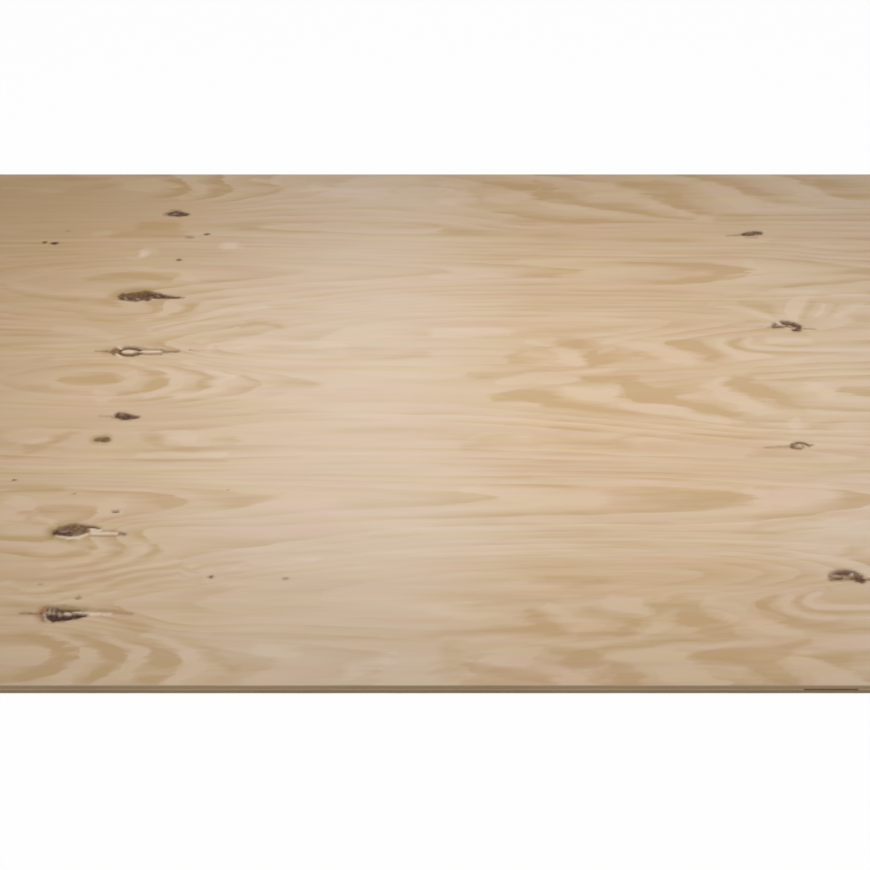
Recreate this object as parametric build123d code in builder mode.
"""Softwood plywood sheet, 4 by 8 feet, lying flat with its better face up.

The frame's origin is in the middle of the back face. +X runs along the face grain, +Y across the
sheet and +Z up through its thickness. Lengths are millimetres.
"""

import os

from build123d import *

# Sheet
sheet_length = 2438.0
sheet_width = 1219.0
sheet_thickness = 18.3
arris_ease = 0.4

# Veneers, all equally thick, from the back face up
ply_count = 5
core_ply = 3
ply_thickness = sheet_thickness / ply_count

# Gap between two core veneers, open to the long edge at -Y
core_gap_length = 73.0
core_gap_depth = 22.0
core_gap_along_share = 0.217

# Open knots in the face veneer: a loose knot leaves a bark-lined pocket, and a check runs out of it
knot_length = 54.0
knot_width = 26.0
check_length = 48.0
check_width = 5.0
check_overlap = 8.0
knot_depth_share = 0.55
check_depth_share = 0.3
pocket_slope = 20.0

# Each open knot: place along and across the sheet from its middle, then its length, width and
# check as shares of the sizes above, then the share of the pocket that the knot's own wood fills.
open_knot_shares = [
    (-0.219, 0.179, 1.15, 1.05, 0.95, 0.00),
    (-0.217, 0.055, 1.00, 0.85, 1.30, 0.55),
    (-0.220, -0.278, 1.00, 1.20, 1.05, 0.00),
    (-0.214, -0.403, 1.05, 1.05, 0.90, 0.00),
    (0.252, 0.110, 0.90, 0.95, 0.55, 0.50),
    (0.242, -0.348, 0.95, 0.90, 0.50, 0.50),
]

core_ply_middle = (core_ply - 0.5) * ply_thickness
knot_depth = knot_depth_share * ply_thickness
check_depth = check_depth_share * ply_thickness


def teardrop(length, width):
    """A knot's outline about its middle: a half-round nose at -X, drawn out to a point at +X."""
    shoulder = (width - length) / 2
    with BuildSketch(mode=Mode.PRIVATE) as outline:
        with BuildLine():
            RadiusArc((shoulder, -width / 2), (shoulder, width / 2), width / 2)
            TangentArc((shoulder, width / 2), (length / 2, 0), tangent=(1, 0))
            TangentArc((shoulder, -width / 2), (length / 2, 0), tangent=(1, 0))
        make_face()
    return outline.sketch


with BuildPart() as plywood_sheet:
    # The sheet, sawn square, with its arrises just eased
    with BuildSketch():
        Rectangle(sheet_length, sheet_width)
    extrude(amount=sheet_thickness)
    face_plane = Plane(plywood_sheet.faces().sort_by(Axis.Z)[-1])
    near_edge_plane = Plane(plywood_sheet.faces().sort_by(Axis.Y)[0], x_dir=(1, 0, 0))
    chamfer(plywood_sheet.edges(), length=arris_ease)

    # The pockets of the open knots, narrower at the bottom, round what is left of each knot
    with BuildSketch(face_plane):
        for along, across, length, width, _, filled in open_knot_shares:
            with Locations((along * sheet_length, across * sheet_width)):
                add(teardrop(length * knot_length, width * knot_width))
                if filled:
                    knot_wood = teardrop(filled * length * knot_length, filled * width * knot_width)
                    add(knot_wood, mode=Mode.SUBTRACT)
    extrude(amount=-knot_depth, taper=pocket_slope, mode=Mode.SUBTRACT)

    # The checks, tapering to nothing along the grain from the point of each pocket
    with BuildSketch(face_plane):
        for along, across, length, _, check, _ in open_knot_shares:
            point = length * knot_length / 2
            with Locations((along * sheet_length, across * sheet_width)):
                Polygon(
                    (point - check_overlap, check_width / 2),
                    (point - check_overlap, -check_width / 2),
                    (point + check * check_length, 0),
                    align=None,
                )
    extrude(amount=-check_depth, mode=Mode.SUBTRACT)

    # The core gap, one veneer high
    with BuildSketch(near_edge_plane):
        with Locations((core_gap_along_share * sheet_length, core_ply_middle - sheet_thickness / 2)):
            Rectangle(core_gap_length, ply_thickness)
    extrude(amount=-core_gap_depth, mode=Mode.SUBTRACT)

plywood_sheet.part.label = "plywood_sheet"

os.makedirs("parts", exist_ok=True)
export_step(plywood_sheet.part, "parts/plywood_sheet.step")
